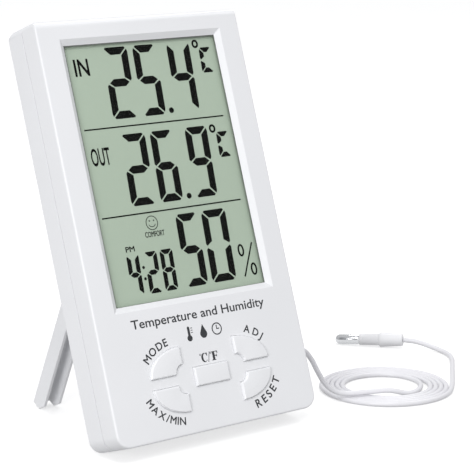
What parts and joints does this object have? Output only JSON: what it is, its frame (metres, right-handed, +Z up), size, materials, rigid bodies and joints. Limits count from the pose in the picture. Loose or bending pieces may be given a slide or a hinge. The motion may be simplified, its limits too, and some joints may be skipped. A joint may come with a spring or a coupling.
{
  "type": "maximum minimum thermometer",
  "caption": "Desk thermometer and hygrometer with a tall display, sprung keys, a fold-out rear stand and an outdoor probe on a coiled lead.",
  "frame": {"origin": "centre of the footprint of the case and its open stand, on the table", "axes": "+Z up, +X to the right seen from the front, +Y away from the front; the case leans back towards +Y"},
  "size_m": [0.1908, 0.0901, 0.1469],
  "materials": {
    "case_white": "satin moulded",
    "key_white": "satin moulded",
    "frame_white": "matt moulded",
    "lens_clear": "clear polished",
    "lcd_glass": "grey-green reflective display",
    "strip_rubber": "matt",
    "mat_rubber": "matt silicone",
    "grommet_white": "satin",
    "lead_white": "smooth satin jacket",
    "sleeve_white": "smooth satin",
    "probe_steel": "polished turned",
    "contact_steel": "nickel plated",
    "crystal_steel": "drawn can",
    "screw_steel": "zinc plated",
    "board_green": "solder mask",
    "chip_black": "cast resin",
    "sensor_blue": "moulded",
    "cell_wrap": "printed sleeve",
    "wire_red": "smooth",
    "wire_black": "smooth"
  },
  "bodies": {
    "case": {"front_case": "case_white", "rear_case": "case_white", "display_lens": "lens_clear", "lcd_glass": "lcd_glass", "lcd_retainer": "frame_white", "zebra_strip": "strip_rubber", "key_mat": "mat_rubber", "main_board": "board_green", "chip_cover": "chip_black", "quartz_crystal": "crystal_steel", "humidity_sensor": "sensor_blue", "indoor_thermistor": "chip_black", "battery_cell": "cell_wrap", "battery_spring": "contact_steel", "minus_contact": "contact_steel", "plus_contact": "contact_steel", "battery_wire_minus": "wire_black", "battery_wire_plus": "wire_red", "lead_grommet": "grommet_white", "lead_inside": "lead_white", "lead_to_coil": "lead_white", "lead_coil": "lead_white", "lead_to_probe": "lead_white", "probe_sleeve": "sleeve_white", "probe_tip": "probe_steel", "case_screw_1": "screw_steel", "board_screw_1": "screw_steel", "case_screw_2": "screw_steel", "board_screw_2": "screw_steel", "case_screw_3": "screw_steel", "board_screw_3": "screw_steel", "case_screw_4": "screw_steel", "board_screw_4": "screw_steel"},
    "stand": {"stand_frame": "case_white"},
    "battery_lid": {"battery_door": "case_white"},
    "key_mode_button": {"key_mode": "key_white"},
    "key_adjust_button": {"key_adjust": "key_white"},
    "key_max_min_button": {"key_max_min": "key_white"},
    "key_reset_button": {"key_reset": "key_white"},
    "key_unit_button": {"key_unit": "key_white"}
  },
  "joints": [
    {"name": "stand_hinge", "type": "hinge", "parent": "case", "child": "stand", "pos_m": [0, 0.00144, 0.0757], "axis": [1, 0, 0], "range_deg": [-45.34, 0]},
    {"name": "battery_door_hinge", "type": "hinge", "parent": "case", "child": "battery_lid", "pos_m": [0, 0.00906, 0.092], "axis": [-1, 0, 0], "range_deg": [0, 90]},
    {"name": "key_mode_press", "type": "slide", "parent": "case", "child": "key_mode_button", "axis": [0, 0.9447, -0.3279], "range_m": [0, 0.0008], "stiffness_N_per_m": 400, "springref_m": -0.0003},
    {"name": "key_adjust_press", "type": "slide", "parent": "case", "child": "key_adjust_button", "axis": [0, 0.9447, -0.3279], "range_m": [0, 0.0008], "stiffness_N_per_m": 400, "springref_m": -0.0003},
    {"name": "key_max_min_press", "type": "slide", "parent": "case", "child": "key_max_min_button", "axis": [0, 0.9447, -0.3279], "range_m": [0, 0.0008], "stiffness_N_per_m": 400, "springref_m": -0.0003},
    {"name": "key_reset_press", "type": "slide", "parent": "case", "child": "key_reset_button", "axis": [0, 0.9447, -0.3279], "range_m": [0, 0.0008], "stiffness_N_per_m": 400, "springref_m": -0.0003},
    {"name": "key_unit_press", "type": "slide", "parent": "case", "child": "key_unit_button", "axis": [0, 0.9447, -0.3279], "range_m": [0, 0.0008], "stiffness_N_per_m": 400, "springref_m": -0.0003}
  ]
}
